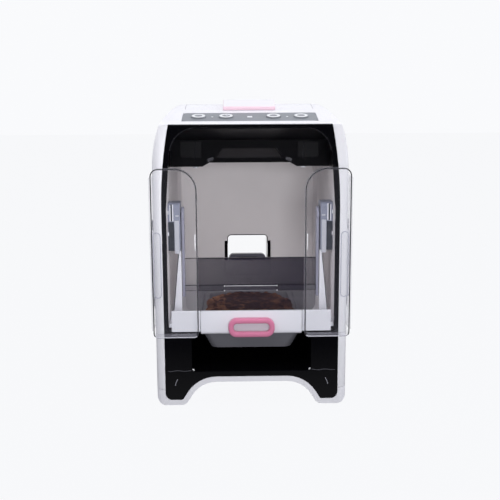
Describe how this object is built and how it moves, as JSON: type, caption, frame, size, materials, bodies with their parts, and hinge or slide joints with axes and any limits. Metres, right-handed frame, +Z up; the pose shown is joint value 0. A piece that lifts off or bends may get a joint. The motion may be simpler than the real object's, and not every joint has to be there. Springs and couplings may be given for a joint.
{
  "type": "automatic pet feeder",
  "caption": "Hooded pet feeder with a top hopper, a swinging smoked visor over a pull-out bowl drawer, clear side shields and a window in its back.",
  "frame": {"origin": "centre of the box on the surface that it stands on", "axes": "+X to the right seen from the front, +Y to the rear, +Z up; the front faces -Y"},
  "size_m": [0.26, 0.316, 0.3991],
  "materials": {
    "shell_white": "glossy",
    "base_white": "satin",
    "fascia_black": "high gloss",
    "ceiling_black": "satin",
    "frame_black": "gloss",
    "liner_grey": "satin",
    "tray_white": "glossy",
    "bowl_plastic": "glossy",
    "kibble_brown": "dry and matt",
    "accent_pink": "glossy",
    "visor_smoke": "clear smoked",
    "shield_clear": "clear",
    "arm_grey": "satin",
    "bracket_grey": "satin",
    "steel": "bright",
    "gear_plastic": "natural acetal",
    "impeller_pink": "soft satin",
    "motor_steel": "zinc coated can and plastic gearbox",
    "hopper_clear": "frosted",
    "rubber_dark": "matt",
    "rail_dark": "satin",
    "bar_grey": "satin",
    "button_grey": "satin",
    "indicator_white": "diffusing",
    "board_green": "solder mask",
    "cell_jacket": "printed sleeve, plain",
    "coil_copper": "enamelled wire",
    "sensor_lens": "clear tinted"
  },
  "bodies": {
    "root": {"outer_shell": "shell_white", "base_cover": "base_white", "rear_cover": "base_white", "front_fascia": "fascia_black", "cavity_liner": "liner_grey", "base_frame": "frame_black", "tray_deck": "tray_white", "ceiling_unit": "ceiling_black", "window_frame": "frame_black", "hopper_bin": "hopper_clear", "impeller_cup": "hopper_clear", "lid_seal": "rubber_dark", "lid_hinge_pin": "steel", "feed_motor": "motor_steel", "visor_motor": "motor_steel", "pivot_bracket_left": "bracket_grey", "pivot_bracket_right": "bracket_grey", "drawer_rail_left": "rail_dark", "drawer_rail_right": "rail_dark", "shield_mount_left": "shell_white", "shield_mount_right": "shell_white", "shield_pin_left": "steel", "shield_pin_right": "steel", "control_panel": "bar_grey", "status_leds": "indicator_white", "display_lens": "indicator_white", "main_board": "board_green", "switch_domes": "steel", "battery_box": "rail_dark", "batteries": "cell_jacket", "antenna_coil": "coil_copper", "proximity_sensors": "sensor_lens", "rubber_feet": "rubber_dark", "screws": "steel"},
    "lid": {"hopper_lid": "shell_white"},
    "latch": {"lid_latch": "accent_pink"},
    "impeller": {"impeller": "impeller_pink", "impeller_gear": "gear_plastic"},
    "feed_pinion": {"feed_pinion": "gear_plastic"},
    "visor": {"visor": "visor_smoke", "visor_arm_left": "arm_grey", "visor_arm_right": "arm_grey", "visor_shafts": "steel", "visor_gear": "gear_plastic"},
    "visor_pinion": {"visor_pinion": "gear_plastic"},
    "drawer": {"bowl_drawer": "tray_white", "drawer_ring": "accent_pink", "food_bowl": "bowl_plastic", "kibble": "kibble_brown"},
    "shield_left": {"side_shield_left": "shield_clear"},
    "shield_right": {"side_shield_right": "shield_clear"},
    "button_1": {"button_1": "button_grey"},
    "button_2": {"button_2": "button_grey"},
    "button_3": {"button_3": "button_grey"},
    "button_4": {"button_4": "button_grey"},
    "battery_door": {"battery_door": "base_white"}
  },
  "joints": [
    {"name": "lid_hinge", "type": "hinge", "parent": "root", "child": "lid", "pos_m": [0, 0.104, 0.388], "axis": [-1, 0, 0], "range_deg": [0, 75]},
    {"name": "latch_slide", "type": "slide", "parent": "lid", "child": "latch", "axis": [0, 0.9703, 0.2419], "range_m": [0, 0.005], "stiffness_N_per_m": 300},
    {"name": "impeller_spin", "type": "hinge", "parent": "root", "child": "impeller", "pos_m": [0, 0, 0.33], "axis": [0, 0, 1], "continuous": true},
    {"name": "feed_pinion_spin", "type": "hinge", "parent": "root", "child": "feed_pinion", "pos_m": [-0.064, 0, 0.33], "axis": [0, 0, 1], "continuous": true},
    {"name": "visor_swing", "type": "hinge", "parent": "root", "child": "visor", "pos_m": [0, -0.1, 0.25], "axis": [1, 0, 0], "range_deg": [0, 105]},
    {"name": "visor_pinion_spin", "type": "hinge", "parent": "root", "child": "visor_pinion", "pos_m": [-0.1128, -0.073, 0.25], "axis": [1, 0, 0], "range_deg": [-210, 0]},
    {"name": "drawer_slide", "type": "slide", "parent": "root", "child": "drawer", "axis": [0, -1, 0], "range_m": [0, 0.11]},
    {"name": "shield_left_swing", "type": "hinge", "parent": "root", "child": "shield_left", "pos_m": [-0.1275, -0.108, 0.186], "axis": [0, 0, -1], "range_deg": [0, 95]},
    {"name": "shield_right_swing", "type": "hinge", "parent": "root", "child": "shield_right", "pos_m": [0.1275, -0.108, 0.186], "axis": [0, 0, 1], "range_deg": [0, 95]},
    {"name": "button_1_press", "type": "slide", "parent": "root", "child": "button_1", "axis": [0, 0.2419, -0.9703], "range_m": [0, 0.0012], "stiffness_N_per_m": 400},
    {"name": "button_2_press", "type": "slide", "parent": "root", "child": "button_2", "axis": [0, 0.2419, -0.9703], "range_m": [0, 0.0012], "stiffness_N_per_m": 400},
    {"name": "button_3_press", "type": "slide", "parent": "root", "child": "button_3", "axis": [0, 0.2419, -0.9703], "range_m": [0, 0.0012], "stiffness_N_per_m": 400},
    {"name": "button_4_press", "type": "slide", "parent": "root", "child": "button_4", "axis": [0, 0.2419, -0.9703], "range_m": [0, 0.0012], "stiffness_N_per_m": 400},
    {"name": "battery_door_hinge", "type": "hinge", "parent": "root", "child": "battery_door", "pos_m": [0, 0.155, 0.106], "axis": [1, 0, 0], "range_deg": [0, 95]}
  ],
  "couplings": [
    {"joint": "feed_pinion_spin", "follows": "impeller_spin", "ratio": -3},
    {"joint": "visor_pinion_spin", "follows": "visor_swing", "ratio": -2}
  ]
}
